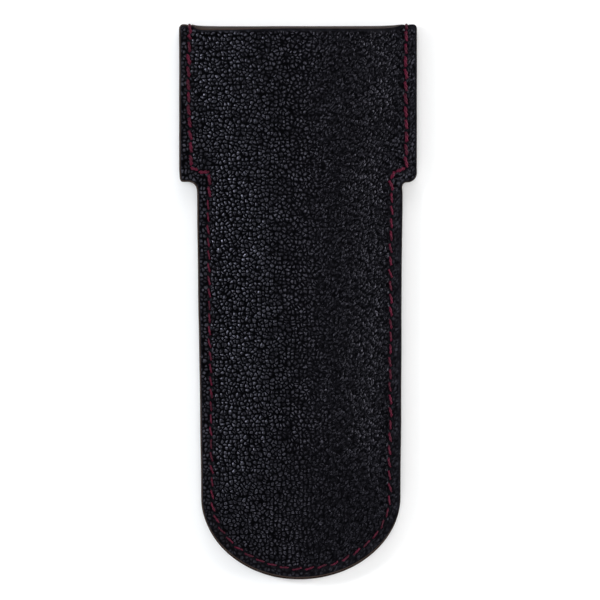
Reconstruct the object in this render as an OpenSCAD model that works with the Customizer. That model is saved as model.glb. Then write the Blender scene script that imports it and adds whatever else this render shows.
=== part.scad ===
// Sewn leather slip case: a wide head at the open mouth, a narrower body and a
// rounded closed end. It lies on its back panel, +Z up through the front panel
// and +Y towards the mouth. Six cut sheets are glued and sewn round the edge.

/* [Outline] */
// Length from the mouth to the rounded end
case_l = 150; // [140:1:170]
// Width across the head
head_w = 64.3; // [64.2:0.1:70]
// Depth of the head below the mouth
head_h = 42.7; // [30:0.1:55]
// Width of the body just under the head
body_w = 55.6; // [52:0.1:55.8]
// Width of the body where the rounded end begins
body_low_w = 53.9; // [50:0.1:55]
// Length of the rounded end
end_l = 22.3; // [16:0.1:26]
// Radius of the mouth corners
mouth_r = 1.2; // [0.6:0.1:2]
// Radius of the head's lower corner on the left
ear_left_r = 0.8; // [0.5:0.1:2]
// Radius of the head's lower corner on the right
ear_right_r = 2.8; // [0.5:0.1:2.8]
// Radius of the inner corner between head and body on the left
neck_left_r = 2; // [1:0.1:2.2]
// Radius of the inner corner between head and body on the right
neck_right_r = 1.4; // [1:0.1:1.4]

/* [Sheets] */
// Thickness of the outer leather
leather_t = 1; // [0.8:0.1:1.6]
// Thickness of the stiff interlining
board_t = 0.3; // [0.2:0.1:0.6]
// Thickness of the suede lining
suede_t = 0.5; // [0.3:0.1:0.8]
// Thickness of each glue line
glue_t = 0.04; // [0.02:0.01:0.08]
// How far the front sheets are trimmed back from the edge of the back sheets
front_trim = 0.4; // [0:0.1:0.6]

/* [Pocket] */
// Width of the flat sewn border
rim_w = 4.4; // [4.3:0.1:5]
// Height that the front rises above its border
front_rise = 5.4; // [4:0.1:9]
// Depth that the back sinks below its border
back_sink = 1.4; // [1:0.1:3]
// Length over which the pocket opens up from the rounded end
pocket_run = 40; // [30:1:60]
// Extra rise of the front at the mouth
mouth_gape = 0.5; // [0:0.1:1.5]
// Length over which the pocket widens from the body into the head
neck_run = 18; // [10:1:25]
// Depth of the hollow in the front sheets' mouth edge
front_dip = 1.6; // [0.5:0.1:2]
// Depth of the hollow in the back sheets' mouth edge
back_dip = 0.4; // [0.2:0.1:1]

/* [Seam] */
// Distance of the seam from the edge
seam_in = 3; // [2.8:0.05:3.1]
// Radius of the seam's turn at the neck
seam_turn_r = 0.8; // [0.6:0.1:1]
// Pitch of the stitches that the seam aims at
stitch_pitch = 3.4; // [3:0.1:4.5]
// Distance of the first hole from the mouth, on the left
first_hole = 4.1; // [1.6:0.1:4.5]
// Distance of the last hole from the mouth, on the right
last_hole = 1.6; // [1.6:0.1:4.5]
// Radius of a stitch hole
hole_r = 0.65; // [0.62:0.01:0.7]
// Width of the thread across the middle of a stitch
thread_w = 0.9; // [0.6:0.05:1]
// Height of a stitch above the leather
thread_h = 0.45; // [0.3:0.05:0.6]

/* [Hidden] */
$fn = 24;

leather_col = [0.09, 0.09, 0.11];
board_col = [0.45, 0.33, 0.23];
suede_col = [0.46, 0.38, 0.31];
thread_col = [0.48, 0.06, 0.14];

// Half widths and the levels along the case
head_half = head_w / 2;
body_half = body_w / 2;
end_half = body_low_w / 2;
mouth_y = case_l / 2;
shoulder_y = mouth_y - head_h;
end_y = end_l - case_l / 2;

// Distances of each sheet's two faces from the seam's middle plane
suede_in = glue_t / 2;
suede_out = suede_in + suede_t;
board_in = suede_out + glue_t;
board_out = board_in + board_t;
leather_in = board_out + glue_t;
leather_out = leather_in + leather_t;
mid_z = leather_out + back_sink;

// The domed middle of a sheet is tucked into its flat border by this much
tuck = 0.6;
tuck_skin = 0.05;
dome_in = rim_w - tuck;

// Fineness of the dome's grid and of the outline's arcs
columns = 16;
column_reach = 1.08;
row_step = 6;
end_steps = 10;
arc_steps = 5;
turn_steps = 2;

// Shape of the dome across the case and along it
across_power = 2.2;
soft_power = 1.3;
sink_gain = 2.4;
dip_run = 15;
dip_power = 5;
gape_run = 40;

// Legs of thread: two share a hole, each set off from its middle along and across
leg_r = 0.24;
leg_along = 0.34;
leg_across = 0.13;
tip_r = 0.28;
nib_w = 0.24;
lock_gap = 0.1;
notch_w = 1;
tack_w = 0.8;

// Points of an arc or a quarter ellipse about c
function arc(c, rx, ry, from, to, steps) = [
    for (i = [0:steps])
        let (a = from + (to - from) * i / steps)
        c + [rx * cos(a), ry * sin(a)]
];

// How far round the neck's arc turns before it meets the side of the head
function neck_turn(d, neck_r) =
    head_half - d < body_half + neck_r
        ? acos((body_half + neck_r - head_half + d) / (neck_r + d))
        : 90;

function ear(d, ear_r, neck_r) =
    head_half - d < body_half + neck_r ? []
        : d < ear_r
            ? arc([head_half - ear_r, shoulder_y + ear_r], ear_r - d, ear_r - d, -90, 0, arc_steps)
            : [[head_half - d, shoulder_y + d]];

function mouth_corner(d) =
    d < mouth_r
        ? arc([head_half - mouth_r, mouth_y - mouth_r], mouth_r - d, mouth_r - d, 0, 90, arc_steps)
        : [[head_half - d, mouth_y]];

// One side of the outline, set in by d, from the tip of the rounded end to the mouth
function side(d, ear_r, neck_r) = concat(
    arc([0, end_y], end_half - d, end_l - d, -90, 0, end_steps),
    arc([body_half + neck_r, shoulder_y - neck_r], neck_r + d, neck_r + d,
        180, 180 - neck_turn(d, neck_r), arc_steps),
    ear(d, ear_r, neck_r),
    mouth_corner(d)
);

function mirrored(points) = [for (p = points) [-p.x, p.y]];
function reversed(points) = [for (i = [len(points) - 1:-1:0]) points[i]];
function without_first(points) = [for (i = [1:len(points) - 1]) points[i]];
function raised(points, h) = [for (p = points) p.y < mouth_y ? p : p + [0, h]];

// The whole outline, from the left of the mouth round the end to the right of it
function outline(d) = concat(
    reversed(mirrored(side(d, ear_left_r, neck_left_r))),
    without_first(side(d, ear_right_r, neck_right_r))
);

// The same line where it follows the seam, which turns tightly at the neck
function sewn_side(d) = side(d, ear_right_r, seam_turn_r - d);
function sewn_line(d) = concat(reversed(mirrored(sewn_side(d))), without_first(sewn_side(d)));

// Adds points so that no stretch is longer than step
function refined(points, step) = [
    for (i = [0:len(points) - 2])
        let (a = points[i], b = points[i + 1], n = ceil(norm(b - a) / step))
        for (k = [0:n - 1])
            a + (b - a) * k / n,
    points[len(points) - 1]
];

// Fullness of the pocket, 0 at its border and 1 in the open middle
function fullness(t) = pow(1 - pow(min(1, max(0, t)), across_power), soft_power);
function along(y) = fullness(1 - (y + case_l / 2 - dome_in) / pocket_run);
function smooth(t) = let (c = min(1, max(0, t))) c * c * (3 - 2 * c);

// Half width of the pocket, which grows slowly from the body's into the head's
function open_half(row) = min(
    row.x,
    body_half - dome_in
        + (head_half - body_half) * smooth((row.y - shoulder_y - seam_in) / neck_run)
);

function front_dome(t, y) =
    fullness(t) * (front_rise * along(y) + mouth_gape * smooth(1 - (mouth_y - y) / gape_run));
function back_dome(t, y) = back_sink * smooth(sink_gain * fullness(t) * along(y));

// Rows of the dome, each with its half width and its place along the case. The
// shoulder's run slopes a little, so that each row lies beyond the last.
shoulder_slope = 0.3;
turn_angle = 110;
dome_side = concat(
    arc([0, end_y], end_half - dome_in, end_l - dome_in, -90, 0, end_steps),
    arc([body_half - dome_in + seam_turn_r, shoulder_y + dome_in - seam_turn_r],
        seam_turn_r, seam_turn_r, 180, turn_angle, turn_steps),
    [
        [head_half - dome_in, shoulder_y + dome_in + shoulder_slope],
        [head_half - dome_in, mouth_y],
    ]
);
rows = refined(without_first(dome_side), row_step);
row_last = len(rows) - 1;
stride = columns + 1;
level_count = len(rows) * stride;

function hollow(u, y, dip) =
    dip * (1 - pow(abs(u), dip_power)) * max(0, 1 - (mouth_y - y) / dip_run);
function at_border(i, j) = i == 0 || j == 0 || j == columns;

// Where a column crosses a row: the outer two on the border, the rest in the pocket
function column_x(row, j) =
    let (u = 2 * j / columns - 1)
    abs(u) == 1 ? u * row.x : u * column_reach * open_half(row);

// One face of a dome: face is its distance from the middle plane at the border,
// way is 1 in front and -1 behind, and skin draws it in where it enters the border
function dome_face(face, way, dip, skin) = [
    for (i = [0:row_last])
        for (j = [0:columns])
            let (
                x = column_x(rows[i], j),
                y = rows[i].y,
                t = abs(x) / open_half(rows[i]),
                lift = way > 0 ? front_dome(t, y) : back_dome(t, y),
                drawn = at_border(i, j) ? skin : 0
            )
            [
                x,
                y - hollow(x / rows[i].x, y, dip) - (i == row_last ? tuck_skin : 0),
                mid_z + way * (face + lift + drawn),
            ]
];

function cell(i, j, flip) =
    let (a = i * stride + j, b = a + stride)
    flip
        ? [[a, b + 1, b], [a, a + 1, b + 1]]
        : [[a, b, b + 1], [a, b + 1, a + 1]];

// A wall between the upper face's edge p to q and the lower face below it
function wall(p, q) = [
    [p + level_count, p, q],
    [p + level_count, q, q + level_count],
];

// The domed middle of a sheet between distances near and far from the middle plane
module dome(near, far, way, dip) {
    low = way > 0 ? near : far;
    high = way > 0 ? far : near;
    upper = dome_face(high, way, dip, -way * tuck_skin);
    lower = dome_face(low, way, dip, way * tuck_skin);
    top = [for (i = [0:row_last - 1]) for (j = [0:columns - 1]) each cell(i, j, false)];
    bottom = [
        for (i = [0:row_last - 1])
            for (j = [0:columns - 1])
                each [for (f = cell(i, j, true)) f + [1, 1, 1] * level_count]
    ];
    last = row_last * stride;
    end_wall = [for (j = [0:columns - 1]) each wall(j, j + 1)];
    mouth_wall = [for (j = [0:columns - 1]) each wall(last + j + 1, last + j)];
    left_wall = [for (i = [0:row_last - 1]) each wall((i + 1) * stride, i * stride)];
    right_wall = [
        for (i = [0:row_last - 1])
            each wall(i * stride + columns, (i + 1) * stride + columns)
    ];
    polyhedron(
        points = concat(upper, lower),
        faces = concat(top, bottom, end_wall, mouth_wall, left_wall, right_wall)
    );
}

// The seam's line and the places of its holes along it
seam = sewn_line(seam_in);
runs = [
    for (i = 0, s = 0; i < len(seam); i = i + 1, s = s + norm(seam[min(i, len(seam) - 1)] - seam[i - 1]))
        s
];
seam_l = runs[len(runs) - 1];
stitches = round((seam_l - first_hole - last_hole) / stitch_pitch);
pitch = (seam_l - first_hole - last_hole) / stitches;

function seam_point(s) =
    let (
        i = max([for (k = [0:len(runs) - 2]) if (runs[k] <= s) k]),
        t = (s - runs[i]) / (runs[i + 1] - runs[i])
    )
    seam[i] + t * (seam[i + 1] - seam[i]);

holes = [for (k = [0:stitches]) seam_point(first_hole + k * pitch)];

// The flat border of every sheet, with the stitch holes and the two thread notches
module border_shape(trim) {
    inner = sewn_line(rim_w);
    seam_x = head_half - seam_in;
    difference() {
        polygon(outline(trim));
        polygon(raised(inner, 1));
        for (h = holes)
            translate(h)
                circle(r = hole_r);
        for (x = [-seam_x, seam_x])
            translate([x - notch_w / 2, mouth_y - thread_h])
                square([notch_w, 2 * thread_h]);
    }
}

// One sheet of the case, cut from flat stock and shaped over the pocket
module sheet(near, far, way) {
    translate([0, 0, mid_z + (way > 0 ? near : -far)])
        linear_extrude(far - near)
            border_shape(way > 0 ? front_trim : 0);
    dome(near, far, way, way > 0 ? front_dip : back_dip);
}

// A stitch seen from above: a slim lens from one hole to the next
module stitch_shape(l) {
    belly = thread_w / 2;
    nib = nib_w / 2;
    polygon([
        [-tip_r, -nib], [0, -tip_r], [l / 2, -belly], [l, -tip_r], [l + tip_r, -nib],
        [l + tip_r, nib], [l, tip_r], [l / 2, belly], [0, tip_r], [-tip_r, nib],
    ]);
}

// One stitch on the outer face that is way of the middle plane, with its two legs
module stitch(a, b, way) {
    run = (b - a) / norm(b - a);
    across = [-run.y, run.x];
    start = a + leg_along * run - leg_across * across;
    finish = b - leg_along * run + leg_across * across;
    span = finish - start;
    leg_l = leather_out - lock_gap + thread_h / 2;
    translate([start.x, start.y, mid_z + (way > 0 ? leather_out : -leather_out - thread_h)])
        rotate([0, 0, atan2(span.y, span.x)])
            linear_extrude(thread_h)
                stitch_shape(norm(span));
    for (p = [start, finish])
        translate([p.x, p.y, mid_z + (way > 0 ? lock_gap : -lock_gap - leg_l)])
            cylinder(r = leg_r, h = leg_l);
}

module seam_thread(way) {
    for (k = [0:stitches - 1])
        stitch(holes[k], holes[k + 1], way);
}

// Thread that runs from the last hole over the mouth's edge and back behind
module mouth_tack(hole, from_y) {
    outside = leather_out + thread_h;
    leg_y = mouth_y - from_y + leg_along;
    translate([hole.x - tack_w / 2, leg_y, mid_z - outside])
        difference() {
            cube([tack_w, mouth_y - leg_y, 2 * outside]);
            translate([-1, -1, thread_h])
                cube([tack_w + 2, mouth_y - leg_y - thread_h + 1, 2 * leather_out]);
        }
    for (way = [1, -1])
        translate([hole.x, leg_y, mid_z + (way > 0 ? lock_gap : -outside + thread_h / 2)])
            cylinder(r = leg_r, h = outside - thread_h / 2 - lock_gap);
}

module front_panel() {
    color(leather_col)
        sheet(leather_in, leather_out, 1);
}

module front_interlining() {
    color(board_col)
        sheet(board_in, board_out, 1);
}

module front_lining() {
    color(suede_col)
        sheet(suede_in, suede_out, 1);
}

module back_lining() {
    color(suede_col)
        sheet(suede_in, suede_out, -1);
}

module back_interlining() {
    color(board_col)
        sheet(board_in, board_out, -1);
}

module back_panel() {
    color(leather_col)
        sheet(leather_in, leather_out, -1);
}

module needle_thread() {
    color(thread_col)
        seam_thread(1);
}

module bobbin_thread() {
    color(thread_col)
        seam_thread(-1);
}

module left_mouth_tack() {
    color(thread_col)
        mouth_tack(holes[0], first_hole);
}

module right_mouth_tack() {
    color(thread_col)
        mouth_tack(holes[stitches], last_hole);
}

front_panel();
front_interlining();
front_lining();
back_lining();
back_interlining();
back_panel();
needle_thread();
bobbin_thread();
left_mouth_tack();
right_mouth_tack();
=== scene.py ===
import math

import bpy
import numpy as np
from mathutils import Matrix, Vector, kdtree
from mathutils.geometry import delaunay_2d_cdt


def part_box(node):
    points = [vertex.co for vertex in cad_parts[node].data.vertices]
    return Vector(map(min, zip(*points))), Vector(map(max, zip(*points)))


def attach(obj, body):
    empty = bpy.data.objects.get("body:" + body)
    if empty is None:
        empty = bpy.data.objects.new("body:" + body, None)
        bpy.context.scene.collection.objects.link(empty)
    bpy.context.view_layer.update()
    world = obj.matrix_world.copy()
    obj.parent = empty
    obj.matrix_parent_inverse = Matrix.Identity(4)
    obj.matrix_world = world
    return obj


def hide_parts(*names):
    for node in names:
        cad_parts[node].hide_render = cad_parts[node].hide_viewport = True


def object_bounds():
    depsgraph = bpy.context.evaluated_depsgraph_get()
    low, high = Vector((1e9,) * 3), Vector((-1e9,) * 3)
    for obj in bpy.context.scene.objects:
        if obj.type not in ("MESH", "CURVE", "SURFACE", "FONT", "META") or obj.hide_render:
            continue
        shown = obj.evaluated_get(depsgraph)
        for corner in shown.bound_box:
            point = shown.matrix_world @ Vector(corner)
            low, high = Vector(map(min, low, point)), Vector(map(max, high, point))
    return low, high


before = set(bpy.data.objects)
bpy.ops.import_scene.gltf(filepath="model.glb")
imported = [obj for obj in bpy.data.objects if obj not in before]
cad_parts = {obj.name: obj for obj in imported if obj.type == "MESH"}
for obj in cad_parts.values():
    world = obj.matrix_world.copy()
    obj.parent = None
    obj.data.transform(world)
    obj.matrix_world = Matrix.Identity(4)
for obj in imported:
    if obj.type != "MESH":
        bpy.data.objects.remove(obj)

cad_low, cad_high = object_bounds()

# ---------------------------------------------------------------- dimensions
# Lengths are in millimetres, and MM turns them into the frame's metres.
MM = 0.001

# Outline, the same construction as the frame's own
mouth_y = cad_high.y / MM
tip_y = cad_low.y / MM
head_half = cad_high.x / MM
head_h = 42.7
body_half = 27.8
end_half = 26.95
end_l = 22.3
mouth_r = 1.2
ear_left_r = 0.8
ear_right_r = 2.8
neck_left_r = 2.0
neck_right_r = 1.4
seam_turn_r = 0.8
arc_step = 0.08
shoulder_y = mouth_y - head_h
end_y = tip_y + end_l

# Distances of the sheets' faces from the seam's middle plane, in frame order
mid_z = (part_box("front_lining")[0].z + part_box("back_lining")[1].z) / 2 / MM
suede_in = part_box("front_lining")[0].z / MM - mid_z
board_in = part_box("front_interlining")[0].z / MM - mid_z
leather_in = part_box("front_panel")[0].z / MM - mid_z
glue_t = 2 * suede_in
leather_t = 1.0
suede_out = board_in - glue_t
board_out = leather_in - glue_t
leather_out = leather_in + leather_t

# Pocket
dome_in = 3.8
back_sink = mid_z - leather_out
mouth_gape = 0.5
gape_run = 40.0
pocket_run = 40.0
neck_run = 18.0
front_rise = (cad_high.z / MM) - mid_z - leather_out - mouth_gape
front_dip = 1.3
back_dip = 0.4
dip_run = 15.0
dip_power_left = 30
dip_power_right = 10
across_power = 2.2
soft_power = 1.3
sink_gain = 2.4

# Slow unevenness of the sheets: its height, and the length over which it goes up and down
ripple_h = 0.2
ripple_run = 17
slack_h = 0.22
slack_run = 15
crumple_h = 0.1
crumple_run = 6.5
settled = 0.25

# Hand cutting: how far the edge drifts sideways, at the head, the body, lower down and at the end
head_drift = -0.27
body_drift = 0.5
low_drift = 0.25
end_drift = -0.25
drift_run = 50
waver_w = 0.05
waver_run = 7
mouth_waver_w = 0.04
mouth_waver_run = 6

# Seam
seam_in = 3.0
stitch_pitch = 3.4
first_hole = 4.5
last_hole = 1.6
ply_r = 0.23
ply_offset = 0.19
ply_lay = 2.6
ply_sides = 8
notch_w = 1.3
notch_depth = 0.35
line_sink = 0.16
hole_sink = 0.42
sink_spread = 0.55
stray_w = 0.45
stray_l = 48
stray_end = 36
stray_turn = 0.9
tremble_w = 0.08

# Stitches: the rise at the middle, the dive at the ends, the slant, and the thread's weight
stitch_rise = 0.24
stitch_dive = 1.0
stitch_inset = 0.4
stitch_slant = 0.26
body_weight = 0.64
head_weight = 0.46
right_weight = 0.12
stitch_points = 15

# Grain
pebble = 1.12
relief = 0.2
margin_grain = 0.55
worn_margin = 0.3


# ---------------------------------------------------------------- the outline
def arc(cx, cy, rx, ry, start, finish):
    """Points of an arc or a quarter ellipse, angles in degrees."""
    count = max(2, math.ceil(math.radians(abs(finish - start)) * max(rx, ry) / arc_step) + 1)
    a = np.radians(np.linspace(start, finish, count))
    return np.column_stack((cx + rx * np.cos(a), cy + ry * np.sin(a)))


def side(d, ear_r, neck_r):
    """One side of the outline set in by d, from the tip of the end to the mouth."""
    parts = [arc(0, end_y, end_half - d, end_l - d, -90, 0)]
    neck_x = body_half + neck_r
    tight = head_half - d < neck_x
    turn = math.degrees(math.acos((neck_x - head_half + d) / (neck_r + d))) if tight else 90
    parts.append(arc(neck_x, shoulder_y - neck_r, neck_r + d, neck_r + d, 180, 180 - turn))
    if not tight:
        r = max(ear_r - d, 0.01)
        parts.append(arc(head_half - d - r, shoulder_y + d + r, r, r, -90, 0))
    if d < mouth_r:
        r = mouth_r - d
        parts.append(arc(head_half - mouth_r, mouth_y - mouth_r, r, r, 0, 90))
    else:
        parts.append(np.array([[head_half - d, mouth_y]]))
    return np.concatenate(parts)


def sewn_side(d):
    """The same side where it follows the seam, which turns tightly at the neck."""
    return side(d, ear_right_r, seam_turn_r - d)


def run_length(points):
    """The length of a line up to each of its points."""
    return np.concatenate(([0], np.cumsum(np.linalg.norm(np.diff(points, axis=0), axis=1))))


def along(points, distances):
    """The places on a line that are these distances from its start."""
    length = run_length(points)
    return np.column_stack([np.interp(distances, length, points[:, k]) for k in (0, 1)])


def resampled(points, step):
    """The same line with its points evenly spaced."""
    whole = run_length(points)[-1]
    return along(points, np.linspace(0, whole, math.ceil(whole / step) + 1))


def directions(path):
    """The unit vectors along a path."""
    run = np.gradient(path, axis=0)
    return run / np.linalg.norm(run, axis=1)[:, None]


def outline(d):
    """The sewn edge, from the left of the mouth round the end to the right of it."""
    left = side(d, ear_left_r, neck_left_r)[::-1] * (-1, 1)
    right = side(d, ear_right_r, neck_right_r)[1:]
    return np.concatenate((left, right))


def sewn_line(d):
    return np.concatenate((sewn_side(d)[::-1] * (-1, 1), sewn_side(d)[1:]))


class Edge:
    """Distance to a line and the line's outward direction, for many points at once."""

    def __init__(self, points, step=0.1):
        self.points = resampled(points, step)
        run = directions(self.points)
        self.out = np.column_stack((run[:, 1], -run[:, 0]))
        self.tree = kdtree.KDTree(len(self.points))
        for i, (x, y) in enumerate(self.points):
            self.tree.insert((x, y, 0), i)
        self.tree.balance()

    def measure(self, xy):
        found = [self.tree.find((x, y, 0)) for x, y in xy]
        index = np.array([f[1] for f in found])
        away = xy - self.points[index]
        out = self.out[index]
        sign = np.where((away * out).sum(axis=1) > 0, 1.0, -1.0)
        return sign * np.array([f[2] for f in found]), out


def close(points):
    return np.concatenate((points, points[:1]))


whole_edge = Edge(close(outline(0)))
straight_on = np.array([[0.0, 20.0]])


def hand_led(points):
    """A sewn line that wanders a little to either side of the true one, most down the left head
    and where it turns into the body on that side."""
    true = Edge(points, 0.25)
    s = np.arange(len(true.points)) * 0.25
    left_head = 1 - smooth((s - stray_end) / 4)
    off = stray_w * np.sin(2 * math.pi * (s - 4) / stray_l) * left_head
    off += tremble_w * np.sin(s / 4.3)
    line = true.points + true.out * off[:, None]
    x, y = line.T
    across = np.clip((x + head_half - seam_in) / (head_half - body_half), 0, 1) * (x < 0)
    line[:, 0] += stray_turn * across * np.exp(-((shoulder_y + seam_in - y) / 4.5) ** 2)
    return line


# ---------------------------------------------------------------- the pocket's shape
def smooth(t):
    c = np.clip(t, 0, 1)
    return c * c * (3 - 2 * c)


def fullness(t):
    return (1 - np.clip(t, 0, 1) ** across_power) ** soft_power


def inner_half(y):
    """Half width of the pocket's own outline at each y."""
    a, b = end_half - dome_in, end_l - dome_in
    end = a * np.sqrt(np.clip(1 - ((end_y - y) / b) ** 2, 0, 1))
    neck_y = shoulder_y + dome_in
    body = a + (body_half - end_half) * np.clip((y - end_y) / (neck_y - end_y), 0, 1)
    half = np.where(y < end_y, end, np.where(y < neck_y, body, head_half - dome_in))
    return np.maximum(half, 1e-3)


def open_half(y):
    widening = (head_half - body_half) * smooth((y - shoulder_y - seam_in) / neck_run)
    return np.minimum(inner_half(y), body_half - dome_in + widening)


def wander(x, y, scale, seed):
    """Smooth unevenness, about -1 to 1, over lengths of about the scale."""
    a, b = x / scale, y / scale
    total = np.sin(1.7 * a + 0.9 * b + seed) + np.sin(-1.1 * a + 1.6 * b + 2.3 * seed)
    return (total + np.sin(0.6 * a - 2.3 * b + 4.1 * seed)) / 3


def level(x, y, distance, way):
    """Height of a face that lies a distance from the middle plane, in front (1) or behind (-1)."""
    t = np.abs(x) / open_half(y)
    full = fullness(t)
    lengthwise = fullness(1 - (y - tip_y - dome_in) / pocket_run)
    rim = 1 - smooth(sink_gain * full)
    ripple = ripple_h * wander(x, y, ripple_run, 0.4) * rim
    if way > 0:
        gape = mouth_gape * smooth(1 - (mouth_y - y) / gape_run)
        rise = full * (front_rise * lengthwise + gape)
        uneven = slack_h * wander(x, y, slack_run, 1.9) + crumple_h * wander(x, y, crumple_run, 2.7)
        slack = full * (uneven - settled)
        return mid_z + ripple + distance + rise + slack
    sink = back_sink * smooth(sink_gain * full * lengthwise)
    return mid_z + ripple - distance - sink


def placed(x, y, way):
    """Hand cutting and wear: where a point of the true outline really lies."""
    u = x / inner_half(y)
    dip = front_dip if way > 0 else back_dip
    power = np.where(u < 0, dip_power_left, dip_power_right)
    hollow = 1 - np.clip(np.abs(u), 0, 1) ** power
    hollow = hollow * np.clip(1 - (mouth_y - y) / dip_run, 0, 1)
    drift = head_drift + body_drift * smooth((shoulder_y + 4 - y) / 8)
    drift = drift + low_drift * smooth((10 - y) / drift_run)
    drift = drift + end_drift * smooth((end_y - y) / end_l)
    waver = waver_w * wander(x, y, waver_run, 3.3)
    mouth_waver = mouth_waver_w * wander(x, y, mouth_waver_run, 5.1)
    return x + drift + waver, y - dip * hollow + mouth_waver


# ---------------------------------------------------------------- the seam
seam = hand_led(sewn_line(seam_in))
seam_edge = Edge(np.concatenate((seam[:1] + straight_on, seam, seam[-1:] + straight_on)))
seam_l = np.linalg.norm(np.diff(seam, axis=0), axis=1).sum()
stitches = round((seam_l - first_hole - last_hole) / stitch_pitch)
holes = along(seam, np.linspace(first_hole, seam_l - last_hole, stitches + 1))
hole_tree = kdtree.KDTree(len(holes))
for i, (x, y) in enumerate(holes):
    hole_tree.insert((x, y, 0), i)
hole_tree.balance()


def seam_relief(x, y, seam_d):
    """How far the outer leather is drawn in by the seam, at points seam_d from its line."""
    line = np.exp(-(seam_d / sink_spread) ** 2)
    near = np.array([hole_tree.find((a, b, 0))[2] for a, b in zip(x, y)])
    return line_sink * line + hole_sink * np.exp(-(near / sink_spread) ** 2)


# ---------------------------------------------------------------- building meshes
def make_object(name, verts, faces, material):
    mesh = bpy.data.meshes.new(name)
    mesh.from_pydata((np.asarray(verts) * MM).tolist(), [], faces)
    mesh.polygons.foreach_set("use_smooth", [True] * len(mesh.polygons))
    mesh.materials.append(material)
    mesh.update()
    obj = bpy.data.objects.new(name, mesh)
    bpy.context.scene.collection.objects.link(obj)
    return obj


def put_attribute(obj, name, values):
    layer = obj.data.attributes.new(name, "FLOAT", "POINT")
    layer.data.foreach_set("value", np.asarray(values, dtype=np.float32))


def kept_cells(field, nx, ny):
    """Grid cells whose middle is inside, with no two touching at a corner only."""
    f = field.reshape(ny + 1, nx + 1)
    kept = (f[:-1, :-1] + f[1:, :-1] + f[:-1, 1:] + f[1:, 1:]) < 0
    for _ in range(4):
        rising, beside_rising = kept[:-1, :-1] & kept[1:, 1:], kept[1:, :-1] | kept[:-1, 1:]
        falling, beside_falling = kept[1:, :-1] & kept[:-1, 1:], kept[:-1, :-1] | kept[1:, 1:]
        for iy, ix in np.argwhere(rising & ~beside_rising):
            kept[iy + 1, ix] = True
        for iy, ix in np.argwhere(falling & ~beside_falling):
            kept[iy, ix] = True
    return kept


def evened(xy, edges, rim, out, inset):
    """Border points spread along the border, so that none land on each other, and kept on it."""
    after, before = np.zeros((2, len(xy)), int)
    after[edges[:, 0]] = edges[:, 1]
    before[edges[:, 1]] = edges[:, 0]
    points, outward = xy.copy(), out[rim]
    for _ in range(4):
        move = (points[after[rim]] + points[before[rim]]) / 2 - points[rim]
        move -= (move * outward).sum(axis=1)[:, None] * outward
        points[rim] += 0.5 * move
        distance, outward = whole_edge.measure(points[rim])
        points[rim] -= (distance + inset(*points[rim].T))[:, None] * outward
    return points[rim], outward


def field_grid(inset, cell):
    """A flat sheet of square cells whose border is pulled on to the line that is inset(x, y)
    inside the edge. Returns the points, the quads, the border's directed edges, its points and
    their outward directions, and every point's distance from the edge."""
    nx = math.ceil(2 * (head_half + 1) / cell)
    ny = math.ceil((mouth_y - tip_y + 2) / cell)
    gx = (np.arange(nx + 1) - nx / 2) * cell
    gy = tip_y - 1 + np.arange(ny + 1) * cell
    xy = np.column_stack([g.ravel() for g in np.meshgrid(gx, gy)])
    distance, out = whole_edge.measure(xy)
    phi = distance + inset(*xy.T)
    kept = kept_cells(phi, nx, ny)
    iy, ix = np.nonzero(kept)
    a = iy * (nx + 1) + ix
    corners = np.column_stack((a, a + 1, a + nx + 2, a + nx + 1))
    padded = np.pad(kept, 1)
    edges = []
    for k, (dy, dx) in enumerate(((-1, 0), (0, 1), (1, 0), (0, -1))):
        bare = ~padded[iy + 1 + dy, ix + 1 + dx]
        edges.append(np.column_stack((corners[bare, k], corners[bare, (k + 1) % 4])))
    edges = np.concatenate(edges)
    rim = np.unique(edges)
    xy[rim] -= phi[rim][:, None] * out[rim]
    xy[rim], out[rim] = evened(xy, edges, rim, out, inset)
    used, renumber = np.unique(corners, return_inverse=True)
    lookup = np.zeros(len(xy), int)
    lookup[used] = np.arange(len(used))
    quads = renumber.reshape(corners.shape)
    return xy[used], quads, lookup[edges], lookup[rim], out[rim], distance[used]


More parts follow.
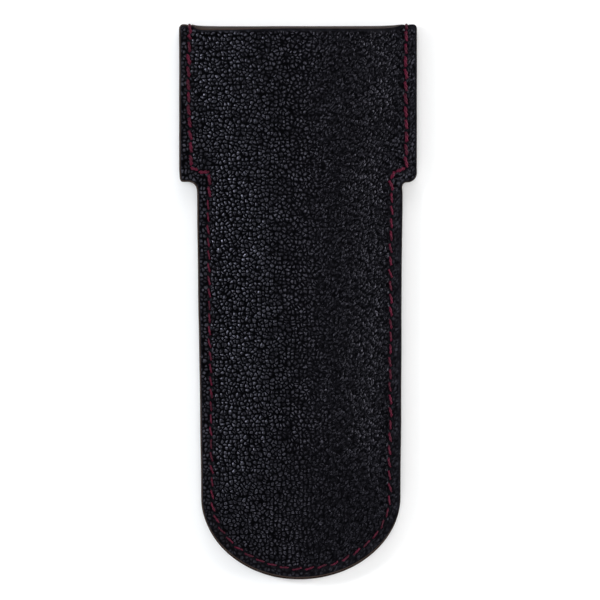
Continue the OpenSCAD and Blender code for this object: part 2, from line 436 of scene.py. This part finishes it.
def sheet_mesh(name, near, far, way, trim, cell, material, round_r=0.25, drawn_in=False):
    """One cut sheet as a closed solid: outer face, rounded cut edge and inner face."""
    def inset(x, y):
        return round_r + trim(x, y)

    xy, quads, edges, rim, out, distance = field_grid(inset, cell)
    x, y = xy[:, 0], xy[:, 1]
    z = level(x, y, far, way)
    cut = np.zeros(len(xy))
    if drawn_in:
        seam_d, _ = seam_edge.measure(xy)
        z = z - way * seam_relief(x, y, seam_d)
    verts = [np.column_stack((*placed(x, y, way), z))]
    cuts = [cut]
    place = {v: k for k, v in enumerate(rim)}
    ea = np.array([place[v] for v in edges[:, 0]])
    eb = np.array([place[v] for v in edges[:, 1]])
    faces = [quads]
    base = xy[rim]
    thickness = far - near
    inner_r = min(inner_round, thickness / 3)
    steps = [(round_r * math.sin(a), far - round_r * (1 - math.cos(a)))
             for a in np.radians((30, 60, 90))]
    steps += [(round_r, far - round_r - (thickness - round_r - inner_r) * k) for k in (0.5, 1.0)]
    steps += [(round_r - inner_r, near)]
    previous = rim
    count = len(xy)
    rim_drop = z[rim] - level(base[:, 0], base[:, 1], far, way)
    for k, (reach, distance_k) in enumerate(steps):
        p = base + out * reach
        fade = rim_drop * max(0, 1 - (k + 1) / len(steps))
        zk = level(p[:, 0], p[:, 1], distance_k, way) + fade
        verts.append(np.column_stack((*placed(p[:, 0], p[:, 1], way), zk)))
        cuts.append(np.full(len(p), min(k / 2, 1.0)))
        ring = count + np.arange(len(rim))
        faces.append(np.column_stack((previous[ea], ring[ea], ring[eb], previous[eb])))
        previous = ring
        count += len(rim)
    flat, tris = filled(base + out * steps[-1][0], np.column_stack((ea, eb)))
    extra = flat[len(rim):]
    verts.append(np.column_stack((*placed(extra[:, 0], extra[:, 1], way),
                                  level(extra[:, 0], extra[:, 1], near, way))))
    cuts.append(np.zeros(len(extra)))
    numbers = np.concatenate((previous, count + np.arange(len(extra))))
    faces = [f for block in faces for f in block.tolist()] + numbers[tris][:, ::-1].tolist()
    if way < 0:
        faces = [f[::-1] for f in faces]
    obj = make_object(name, np.concatenate(verts), faces, material)
    put_attribute(obj, "cut", np.concatenate(cuts))
    at_edge = np.ones(len(obj.data.vertices))
    at_edge[:len(xy)] = 1 - smooth((-distance - 0.5) / 0.5)
    all_y = np.concatenate([v[:, 1] for v in verts])
    put_attribute(obj, "rubbed", at_edge * (0.3 + 0.7 * smooth((mouth_y - all_y - 1) / 3)))
    if drawn_in:
        pressed = np.zeros(len(obj.data.vertices))
        pressed[:len(xy)] = np.clip(seam_relief(x, y, seam_d) / hole_sink, 0, 1)
        put_attribute(obj, "pressed", pressed)
    return obj, xy, distance


def filled(ring, ring_edges):
    """Triangles that fill a closed ring, with points of a coarser grid inside it."""
    lo, hi = ring.min(axis=0), ring.max(axis=0)
    gx, gy = np.meshgrid(*(np.arange(lo[k], hi[k], filling_cell) for k in (0, 1)))
    inner = np.column_stack((gx.ravel(), gy.ravel()))
    distance, _ = whole_edge.measure(inner)
    inner = inner[distance < -filling_cell]
    points = [Vector(p) for p in np.concatenate((ring, inner))]
    result = delaunay_2d_cdt(points, ring_edges.tolist(), [], 1, 1e-6)
    tris, origins = result[2], result[3]
    order = [o[0] for o in origins]
    flat = np.array([list(p) for p in points])
    return flat, np.array([[order[i] for i in t] for t in tris if len(t) == 3])


# ---------------------------------------------------------------- node helpers
class Nodes:
    """Short forms for building a node tree, the same for shaders and geometry."""

    def __init__(self, tree):
        self.tree = tree

    def add(self, kind, **settings):
        node = self.tree.nodes.new(kind)
        for key, value in settings.items():
            setattr(node, key, value)
        return node

    def feed(self, socket, value):
        if isinstance(value, bpy.types.NodeSocket):
            self.tree.links.new(value, socket)
        else:
            socket.default_value = value

    def math(self, operation, a, b=0.0, clamp=False):
        node = self.add("ShaderNodeMath", operation=operation, use_clamp=clamp)
        self.feed(node.inputs[0], a)
        self.feed(node.inputs[1], b)
        return node.outputs[0]

    def vector(self, operation, a, b=(0, 0, 0)):
        node = self.add("ShaderNodeVectorMath", operation=operation)
        self.feed(node.inputs[0], a)
        self.feed(node.inputs[1], b)
        return node.outputs[0]

    def scaled(self, a, factor):
        node = self.add("ShaderNodeVectorMath", operation="SCALE")
        self.feed(node.inputs[0], a)
        self.feed(node.inputs["Scale"], factor)
        return node.outputs[0]

    def step(self, value, low, high, to_low=0.0, to_high=1.0):
        node = self.add("ShaderNodeMapRange", interpolation_type="SMOOTHSTEP")
        for key, v in (("Value", value), ("From Min", low), ("From Max", high),
                       ("To Min", to_low), ("To Max", to_high)):
            self.feed(node.inputs[key], v)
        return node.outputs["Result"]

    def mix(self, factor, a, b):
        node = self.add("ShaderNodeMix", data_type="FLOAT")
        self.feed(node.inputs["Factor"], factor)
        self.feed(node.inputs["A"], a)
        self.feed(node.inputs["B"], b)
        return node.outputs["Result"]

    def colour(self, factor, a, b):
        node = self.add("ShaderNodeMix", data_type="RGBA")
        self.feed(node.inputs[0], factor)
        self.feed(node.inputs[6], a)
        self.feed(node.inputs[7], b)
        return node.outputs[2]

    def noise(self, vector, scale, detail=2.0, roughness=0.5, output="Fac"):
        node = self.add("ShaderNodeTexNoise", noise_dimensions="3D")
        self.feed(node.inputs["Vector"], vector)
        node.inputs["Scale"].default_value = scale
        node.inputs["Detail"].default_value = detail
        node.inputs["Roughness"].default_value = roughness
        return node.outputs[output]

    def cells(self, vector, feature, scale=1.0, randomness=1.0):
        node = self.add("ShaderNodeTexVoronoi", voronoi_dimensions="2D", feature=feature)
        self.feed(node.inputs["Vector"], vector)
        node.inputs["Scale"].default_value = scale
        node.inputs["Randomness"].default_value = randomness
        return node.outputs["Distance"]


def pebbles(n, flat, scale):
    """Height of one set of pebbles, 0 in the creases and 1 on the crowns."""
    edge = n.step(n.cells(flat, "DISTANCE_TO_EDGE", scale, 0.9), 0.0, 0.3, 0.1, 1.0)
    middle = n.math("DIVIDE", n.cells(flat, "F1", scale, 0.9), 0.8)
    dome = n.math("SUBTRACT", 1.0, n.math("MULTIPLY", middle, middle), clamp=True)
    return n.math("MULTIPLY", edge, dome)


def grain_height(n, position):
    """Pebbled grain over the whole case from a position in metres, the same wherever it is used.
    The left has round pebbles. Towards the right they give way to narrow ones that lean over, in a
    lower relief broken by short creases."""
    split = n.add("ShaderNodeSeparateXYZ")
    n.feed(split.inputs[0], position)
    x, y = (n.math("MULTIPLY", split.outputs[k], 1 / MM) for k in (0, 1))
    join = n.add("ShaderNodeCombineXYZ")
    n.feed(join.inputs[0], x)
    n.feed(join.inputs[1], y)
    flat = n.scaled(join.outputs[0], 1 / pebble)
    drift = n.vector("SUBTRACT", n.noise(flat, 0.42, 3.0, 0.6, "Color"), (0.5, 0.5, 0.5))
    flat = n.vector("ADD", flat, n.scaled(drift, 1.5))
    lean = n.add("ShaderNodeVectorRotate", rotation_type="Z_AXIS")
    n.feed(lean.inputs["Vector"], flat)
    lean.inputs["Angle"].default_value = math.radians(32)
    narrow = n.vector("MULTIPLY", lean.outputs[0], (1.45, 0.86, 1.0))
    longer = n.vector("MULTIPLY", lean.outputs[0], (2.05, 0.9, 1.0))
    side_mix = n.step(x, -10.0, 18.0)
    strokes = n.step(n.noise(longer, 1.0, 0.0), 0.38, 0.50, 0.0, 0.39)
    shallow = n.math("ADD", n.math("MULTIPLY", pebbles(n, narrow, 1.0), 0.48), strokes)
    main = n.mix(side_mix, pebbles(n, flat, 1.0), shallow)
    fine = pebbles(n, flat, 2.1)
    return n.math("ADD", n.math("MULTIPLY", main, 0.8), n.math("MULTIPLY", fine, 0.2))


def grain_tree(way):
    """Geometry nodes that raise the pebbles, as much as the grain attribute says."""
    tree = bpy.data.node_groups.new("grain_relief", "GeometryNodeTree")
    tree.interface.new_socket("Geometry", in_out="INPUT", socket_type="NodeSocketGeometry")
    tree.interface.new_socket("Geometry", in_out="OUTPUT", socket_type="NodeSocketGeometry")
    n = Nodes(tree)
    start, end = n.add("NodeGroupInput"), n.add("NodeGroupOutput")
    place = n.add("GeometryNodeInputPosition")
    mask = n.add("GeometryNodeInputNamedAttribute", data_type="FLOAT")
    mask.inputs["Name"].default_value = "grain"
    height = n.math("SUBTRACT", grain_height(n, place.outputs[0]), 0.5)
    masked = n.math("MULTIPLY", height, mask.outputs["Attribute"])
    lift = n.math("MULTIPLY", masked, relief * MM * way)
    offset = n.add("ShaderNodeCombineXYZ")
    n.feed(offset.inputs[2], lift)
    move = n.add("GeometryNodeSetPosition")
    n.feed(move.inputs["Geometry"], start.outputs[0])
    n.feed(move.inputs["Offset"], offset.outputs[0])
    n.feed(end.inputs[0], move.outputs[0])
    return tree


def raise_grain(obj, way):
    modifier = obj.modifiers.new("grain", "NODES")
    modifier.node_group = grain_tree(way)
    bpy.context.view_layer.objects.active = obj
    bpy.ops.object.modifier_apply(modifier="grain")


# ---------------------------------------------------------------- materials
def new_material(name):
    material = bpy.data.materials.new(name)
    material.use_nodes = True
    n = Nodes(material.node_tree)
    shader = material.node_tree.nodes["Principled BSDF"]
    position = n.add("ShaderNodeTexCoord").outputs["Object"]
    return material, n, shader, position


def bumped(n, shader, height, distance, strength=1.0):
    bump = n.add("ShaderNodeBump")
    bump.inputs["Strength"].default_value = strength
    bump.inputs["Distance"].default_value = distance
    n.feed(bump.inputs["Height"], height)
    n.feed(shader.inputs["Normal"], bump.outputs[0])


def attribute(n, name):
    return n.add("ShaderNodeAttribute", attribute_name=name).outputs["Fac"]


def leather_material():
    """Blue-black pebbled leather with a soft sheen, its colour darkened in the creases as painted
    shade, and a brown-black fibrous cut edge.
    """
    material, n, shader, position = new_material("outer_leather")
    cut = attribute(n, "cut")
    grain = attribute(n, "grain")
    pressed = attribute(n, "pressed")
    height = n.mix(n.step(grain, 0.0, 0.5), 0.47, grain_height(n, position))
    patches = n.noise(position, 60, 3.0)
    speckle = n.noise(position, 2600, 2.0, 0.6)
    # Painted shade: grain height makes the base colour near black in the creases and lighter on the
    # crowns.
    crease_shaded_surface = n.colour(height, (0.0003, 0.0003, 0.0004, 1), (0.0048, 0.0046, 0.0061, 1))
    crease_shaded_surface = n.colour(n.math("MULTIPLY", patches, 0.3), crease_shaded_surface, (0.0042, 0.0041, 0.0054, 1))
    strands = n.noise(position, 1500, 3.0)
    fibres = n.colour(strands, (0.008, 0.005, 0.004, 1), (0.035, 0.018, 0.011, 1))
    n.feed(shader.inputs["Base Color"], n.colour(cut, crease_shaded_surface, fibres))
    worn = n.math("ADD", n.math("MULTIPLY", patches, 0.12), n.math("MULTIPLY", speckle, 0.1))
    field = n.mix(n.step(grain, 0.3, 0.8), 0.42, n.math("ADD", worn, 0.11))
    n.feed(shader.inputs["Roughness"], n.mix(cut, field, 0.85))
    sparkle = n.step(n.noise(position, 640, 1.0), 0.36, 0.66, 0.5, 1.6)
    gloss = n.math("MULTIPLY", n.step(height, 0.35, 0.78, 0.0, 0.34), sparkle)
    n.feed(shader.inputs["Specular IOR Level"], n.mix(pressed, gloss, 0.03))
    shader.inputs["Specular Tint"].default_value = (0.80, 0.79, 1.0, 1)
    fine = n.math("MULTIPLY", n.noise(position, 3800, 3.0, 0.65), 0.1)
    ridges = n.math("MULTIPLY", n.math("MULTIPLY", height, grain), 0.5)
    bumped(n, shader, n.math("ADD", fine, ridges), relief * MM)
    return material


def suede_material():
    """Taupe suede with brushed, patchy nap."""
    material, n, shader, position = new_material("suede_lining")
    nap = n.noise(position, 240, 4.0, 0.6)
    fuzz = n.noise(position, 2800, 4.0, 0.75)
    base = n.colour(nap, (0.038, 0.033, 0.030, 1), (0.078, 0.069, 0.062, 1))
    base = n.colour(n.math("MULTIPLY", fuzz, 0.5), base, (0.018, 0.014, 0.012, 1))
    burnish = n.colour(fuzz, (0.010, 0.005, 0.003, 1), (0.045, 0.020, 0.011, 1))
    rubbed = attribute(n, "rubbed")
    n.feed(shader.inputs["Base Color"], n.colour(rubbed, base, burnish))
    shader.inputs["Roughness"].default_value = 0.95
    shader.inputs["Specular IOR Level"].default_value = 0.15
    n.feed(shader.inputs["Sheen Weight"], n.mix(rubbed, 0.25, 0.02))
    shader.inputs["Sheen Roughness"].default_value = 0.6
    bumped(n, shader, n.math("ADD", fuzz, n.math("MULTIPLY", nap, 0.6)), 0.25 * MM)
    return material


def board_material():
    """Brown bonded board, seen only as a line in the cut edge."""
    material, n, shader, position = new_material("interlining")
    fibres = n.noise(position, 1400, 4.0, 0.7)
    brown = n.colour(fibres, (0.016, 0.008, 0.004, 1), (0.05, 0.025, 0.014, 1))
    n.feed(shader.inputs["Base Color"], brown)
    shader.inputs["Roughness"].default_value = 0.8
    bumped(n, shader, fibres, 0.1 * MM)
    return material


def thread_material():
    """Burgundy twisted thread, waxed, with fine fibres along the twist."""
    material, n, shader, position = new_material("seam_thread")
    fibres = n.noise(position, 5200, 3.0, 0.7)
    patches = n.step(n.noise(position, 330, 2.0), 0.34, 0.66)
    base = n.colour(patches, (0.016, 0.0003, 0.003, 1), (0.070, 0.0012, 0.0130, 1))
    base = n.colour(n.math("MULTIPLY", fibres, 0.5), base, (0.10, 0.006, 0.028, 1))
    n.feed(shader.inputs["Base Color"], base)
    n.feed(shader.inputs["Roughness"], n.math("ADD", n.math("MULTIPLY", fibres, 0.25), 0.4))
    shader.inputs["Specular IOR Level"].default_value = 0.17
    shader.inputs["Specular Tint"].default_value = (0.92, 0.97, 1.0, 1)
    bumped(n, shader, fibres, 0.06 * MM)
    return material


leather = leather_material()
suede = suede_material()
board = board_material()
thread = thread_material()


# ---------------------------------------------------------------- the sheets
def notches(x, y):
    """The thread that goes over the mouth's edge draws it in a little."""
    at_mouth = smooth((y - mouth_y + 3) / 2)
    dents = sum(np.exp(-((x - h[0]) / (notch_w / 2)) ** 2) for h in (holes[0], holes[-1]))
    return notch_depth * dents * at_mouth


def at_end(x, y):
    """1 round the closed end, 0 along the sides."""
    return smooth((end_y - y) / end_l)


def at_left(x, y):
    """1 along the left side, 0 on the right and round the end."""
    return smooth(-x / 20) * (1 - at_end(x, y))


def front_trim(x, y):
    """How far the front leather stops inside the case's edge."""
    return 0.12 + 0.6 * at_end(x, y) + 0.28 * at_left(x, y) + notches(x, y)


def front_inner_trim(x, y):
    """The same for the sheets behind it, which show as a line beyond it on the left and the end."""
    return 0.1 + 0.38 * at_end(x, y) - 0.05 * at_left(x, y) + notches(x, y)


def back_trim(x, y):
    return 0.12 * at_left(x, y) + notches(x, y)


def back_inner_trim(x, y):
    return 0.15 + 0.55 * at_end(x, y) - 0.08 * at_left(x, y) + notches(x, y)


def grain_mask(x, y, distance, seam_d):
    """Where the grain stands up: fully in the field, less in the margin, none at the edge."""
    field = smooth((-seam_d - 0.2) / 1.0)
    right = smooth(x / 20) * smooth((shoulder_y - y) / 6)
    margin = margin_grain - worn_margin * np.maximum(smooth((end_y + 4 - y) / 12), right)
    off_edge = smooth((-distance - 0.4) / 0.6)
    off_mouth = smooth((mouth_y - y - 0.7) / 1.1)
    pressed = 1 - 0.6 * np.exp(-(seam_d / 0.6) ** 2)
    return (margin + (1 - margin) * field) * off_edge * off_mouth * pressed


def outer_panel(name, way, trim, cell):
    obj, xy, distance = sheet_mesh(name, leather_in, leather_out, way, trim, cell, leather,
                                   drawn_in=True)
    seam_d, _ = seam_edge.measure(xy)
    mask = np.zeros(len(obj.data.vertices))
    mask[:len(distance)] = grain_mask(xy[:, 0], xy[:, 1], distance, seam_d)
    put_attribute(obj, "grain", mask)
    raise_grain(obj, way)
    return obj


def inner_sheet(name, near, far, way, material, round_r):
    trim = front_inner_trim if way > 0 else back_inner_trim
    return sheet_mesh(name, near, far, way, trim, hidden_cell, material, round_r)[0]


front_cell = 0.34
back_cell = 0.45
hidden_cell = 0.9
filling_cell = 1.6
suede_r = 0.15
board_r = 0.08
inner_round = 0.12

front_panel = outer_panel("front_leather", 1, front_trim, front_cell)
back_panel = outer_panel("back_leather", -1, back_trim, back_cell)
front_lining = inner_sheet("front_suede", suede_in, suede_out, 1, suede, suede_r)
back_lining = inner_sheet("back_suede", suede_in, suede_out, -1, suede, suede_r)
front_board = inner_sheet("front_board", board_in, board_out, 1, board, board_r)
back_board = inner_sheet("back_board", board_in, board_out, -1, board, board_r)


# ---------------------------------------------------------------- thread
def swept(path, radius):
    """A closed tube along a path."""
    run = directions(path)
    normal = np.cross(run[0], (0.3, 0.2, 1.0))
    frames = []
    for t in run:
        normal = normal - t * np.dot(normal, t)
        normal /= np.linalg.norm(normal)
        frames.append((normal.copy(), np.cross(t, normal)))
    angles = (np.arange(ply_sides) * 2 * math.pi / ply_sides)[:, None]
    rings = [p + radius * (np.cos(angles) * u + np.sin(angles) * v)
             for p, (u, v) in zip(path, frames)]
    verts = np.concatenate(rings)
    faces = []
    last = (len(path) - 1) * ply_sides
    for first in range(0, last, ply_sides):
        for k in range(ply_sides):
            a, b = first + k, first + (k + 1) % ply_sides
            faces.append([a, b, b + ply_sides, a + ply_sides])
    faces.append(list(range(ply_sides))[::-1])
    faces.append([last + k for k in range(ply_sides)])
    return verts, faces


def twisted(path, phase, weight=1.0):
    """Two plies laid round a path."""
    length = run_length(path)
    run = directions(path)
    across = np.cross(run, (0.0, 0.0, 1.0))
    flat = np.linalg.norm(across, axis=1)[:, None]
    across = np.where(flat > 1e-3, across / np.maximum(flat, 1e-3), (1.0, 0.0, 0.0))
    up = np.cross(across, run)
    parts = []
    for ply in (0, math.pi):
        a = (2 * math.pi * length / ply_lay + phase + ply)[:, None]
        turn = np.cos(a) * across + np.sin(a) * up
        parts.append(swept(path + weight * ply_offset * turn, weight * ply_r))
    return parts


def joined(parts):
    verts, faces, count = [], [], 0
    for v, f in parts:
        verts.append(v)
        faces += [[i + count for i in face] for face in f]
        count += len(v)
    return np.concatenate(verts), faces


def on_face(point, way):
    """The height of the outer leather at a point of the seam."""
    return level(point[:1], point[1:2], leather_out, way)[0] - way * line_sink


def stitch_path(a, b, way, slant, jitter):
    run = (b - a) / np.linalg.norm(b - a)
    across = np.array([-run[1], run[0]])
    start = a + stitch_inset * run - slant * across
    finish = b - stitch_inset * run + slant * across
    t = np.linspace(0, 1, stitch_points)
    rise = stitch_rise + jitter[0] - stitch_dive * np.abs(2 * t - 1) ** 5
    bow = jitter[1] * np.sin(math.pi * t)
    line = start + (finish - start) * t[:, None] + across * bow[:, None]
    base = (1 - t) * on_face(a, way) + t * on_face(b, way)
    x, y = placed(line[:, 0], line[:, 1], way)
    return np.column_stack((x, y, base + way * rise))


def seam_thread(name, way, seed):
    rng = np.random.default_rng(seed)
    parts = []
    for a, b in zip(holes[:-1], holes[1:]):
        jitter = rng.normal(0, (0.05, 0.08))
        slant = rng.normal(stitch_slant, 0.12)
        head = smooth((a[1] - shoulder_y + 6) / 6)
        right = smooth(a[0] / 20) * smooth((a[1] - end_y) / 10)
        weight = body_weight + head_weight * head + right_weight * right * (1 - head)
        weight = weight * rng.uniform(0.9, 1.1)
        path = stitch_path(a, b, way, slant, jitter)
        parts += twisted(path, rng.uniform(0, 2 * math.pi), weight)
    return make_object(name, *joined(parts), thread)


def rounded_path(points, count):
    """A Catmull-Rom curve through points."""
    p = np.asarray(points, float)
    p = np.concatenate((2 * p[:1] - p[1:2], p, 2 * p[-1:] - p[-2:-1]))
    out = []
    for k in range(1, len(p) - 2):
        for t in np.linspace(0, 1, count, endpoint=False):
            a, b, c, d = p[k - 1:k + 3]
            out.append(0.5 * (2 * b + (c - a) * t + (2 * a - 5 * b + 4 * c - d) * t ** 2
                              + (3 * b - a - 3 * c + d) * t ** 3))
    out.append(p[-2])
    return np.array(out)


def mouth_tack(name, hole, leg_y, lean, seed, extra=()):
    """Thread from a hole at leg_y over the mouth's edge and back behind, with any extra short
    stitches, each from one point of the face to another."""
    rng = np.random.default_rng(seed)
    top, low = on_face(hole, 1), on_face(hole, -1)
    x0, edge = hole[0], mouth_y - notch_depth
    points = [
        (x0 + lean, leg_y, top - 0.7), (x0 + lean, leg_y + 0.3, top + 0.12),
        (x0 + lean / 2, (leg_y + edge) / 2, top + 0.26), (x0, edge - 0.5, top + 0.22),
        (x0, edge, top - 0.3), (x0, edge + 0.05, (top + low) / 2),
        (x0, edge, low + 0.3), (x0, edge - 0.5, low - 0.22),
        (x0 + lean, leg_y + 0.3, low - 0.12), (x0 + lean, leg_y, low + 0.6),
    ]
    paths = [rounded_path(points, 6)]
    for a, b in extra:
        for way, face in ((1, top), (-1, low)):
            middle = ((a[0] + b[0]) / 2, (a[1] + b[1]) / 2, face + way * 0.24)
            ends = [(*q, face - way * 0.5) for q in (a, b)]
            paths.append(rounded_path([ends[0], middle, ends[1]], 8))
    parts = []
    for path in paths:
        x, _ = placed(path[:, 0], path[:, 1], 1)
        parts += twisted(np.column_stack((x, path[:, 1:])), rng.uniform(0, 6))
    return make_object(name, *joined(parts), thread)


needle = seam_thread("needle_stitches", 1, 7)
bobbin = seam_thread("bobbin_stitches", -1, 11)
left_x, left_y = holes[0]
short_stitch = ((left_x - 0.45, left_y + 1.7), (left_x + 0.35, left_y + 0.35))
left_tack = mouth_tack("left_tack", holes[0], left_y + 1.95, 0.3, 3, [short_stitch])
right_tack = mouth_tack("right_tack", holes[-1], holes[-1][1] + 0.15, 0.1, 5)


# ---------------------------------------------------------------- what stands for what
for piece, node, slot in (
    (front_panel, "front_panel", "outer_leather"),
    (back_panel, "back_panel", "outer_leather"),
    (front_lining, "front_lining", "suede_lining"),
    (back_lining, "back_lining", "suede_lining"),
    (front_board, "front_interlining", "interlining"),
    (back_board, "back_interlining", "interlining"),
    (needle, "needle_thread", "seam_thread"),
    (bobbin, "bobbin_thread", "seam_thread"),
    (left_tack, "left_mouth_tack", "seam_thread"),
    (right_tack, "right_mouth_tack", "seam_thread"),
):
    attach(piece, "root")
    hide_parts(node)


# ---------------------------------------------------------------- studio
floor_z = -0.1  # just under the grain of the back


def make_floor():
    bpy.ops.mesh.primitive_plane_add(size=8, location=(0, 0, floor_z * MM))
    floor = bpy.context.object
    floor.name = "floor"
    material, n, shader, position = new_material("floor_white")
    tint = n.colour(n.noise(position, 3, 2.0), (0.91, 0.915, 0.92, 1), (0.95, 0.95, 0.95, 1))
    n.feed(shader.inputs["Base Color"], tint)
    shader.inputs["Roughness"].default_value = 0.9
    shader.inputs["Specular IOR Level"].default_value = 0.1
    floor.data.materials.append(material)


def soft_light(name, place, size, power, colour):
    data = bpy.data.lights.new(name, "AREA")
    data.shape = "SQUARE"
    data.size = size
    data.energy = power
    data.color = colour
    light = bpy.data.objects.new(name, data)
    light.location = place
    light.rotation_euler = (-Vector(place)).to_track_quat("-Z", "Y").to_euler()
    bpy.context.scene.collection.objects.link(light)


def make_world():
    """A pale room, brightest half way up and to the left, with a dark ceiling."""
    world = bpy.data.worlds.new("studio")
    world.use_nodes = True
    n = Nodes(world.node_tree)
    split = n.add("ShaderNodeSeparateXYZ")
    n.feed(split.inputs[0], n.add("ShaderNodeTexCoord").outputs["Generated"])
    height = split.outputs[2]
    band = n.math("MULTIPLY", n.step(height, 0.3, 0.5), n.step(height, 0.82, 0.62))
    room = n.step(height, 0.6, 0.3, 0.03, 0.5)
    background = world.node_tree.nodes["Background"]
    background.inputs["Color"].default_value = (0.97, 0.98, 1.0, 1)
    leftward = n.step(split.outputs[0], 0.7, -0.7, 0.8, 1.6)
    strength = n.math("MAXIMUM", room, n.math("MULTIPLY", band, leftward))
    n.feed(background.inputs["Strength"], strength)
    bpy.context.scene.world = world


def make_camera():
    """Straight above the case, framed as the photograph is."""
    distance = 1.6
    frame_width = 0.162
    data = bpy.data.cameras.new("camera")
    data.sensor_width = 36
    data.lens = data.sensor_width * distance / frame_width
    camera = bpy.data.objects.new("camera", data)
    camera.location = (0.27 * MM, 0.49 * MM, distance + 4 * MM)
    bpy.context.scene.collection.objects.link(camera)
    bpy.context.scene.camera = camera


make_floor()
for name, place, size, power, colour in (
    ("left_softbox", (-0.62, 0.18, 0.50), 0.16, 2.7, (0.93, 0.97, 1.0)),
    ("right_panel", (1.25, 0.15, 0.30), 0.7, 20.0, (1.0, 0.99, 0.97)),
    ("mouth_panel", (0.05, 1.10, 0.85), 0.7, 3.2, (1.0, 1.0, 1.0)),
    ("end_panel", (-0.10, -1.10, 0.85), 0.7, 4.5, (1.0, 1.0, 1.0)),
    ("top_panel", (0.03, 0.10, 1.30), 0.55, 3.9, (1.0, 1.0, 1.0)),
):
    soft_light(name, place, size, power, colour)
make_world()
make_camera()
bpy.context.scene.view_settings.view_transform = "Standard"
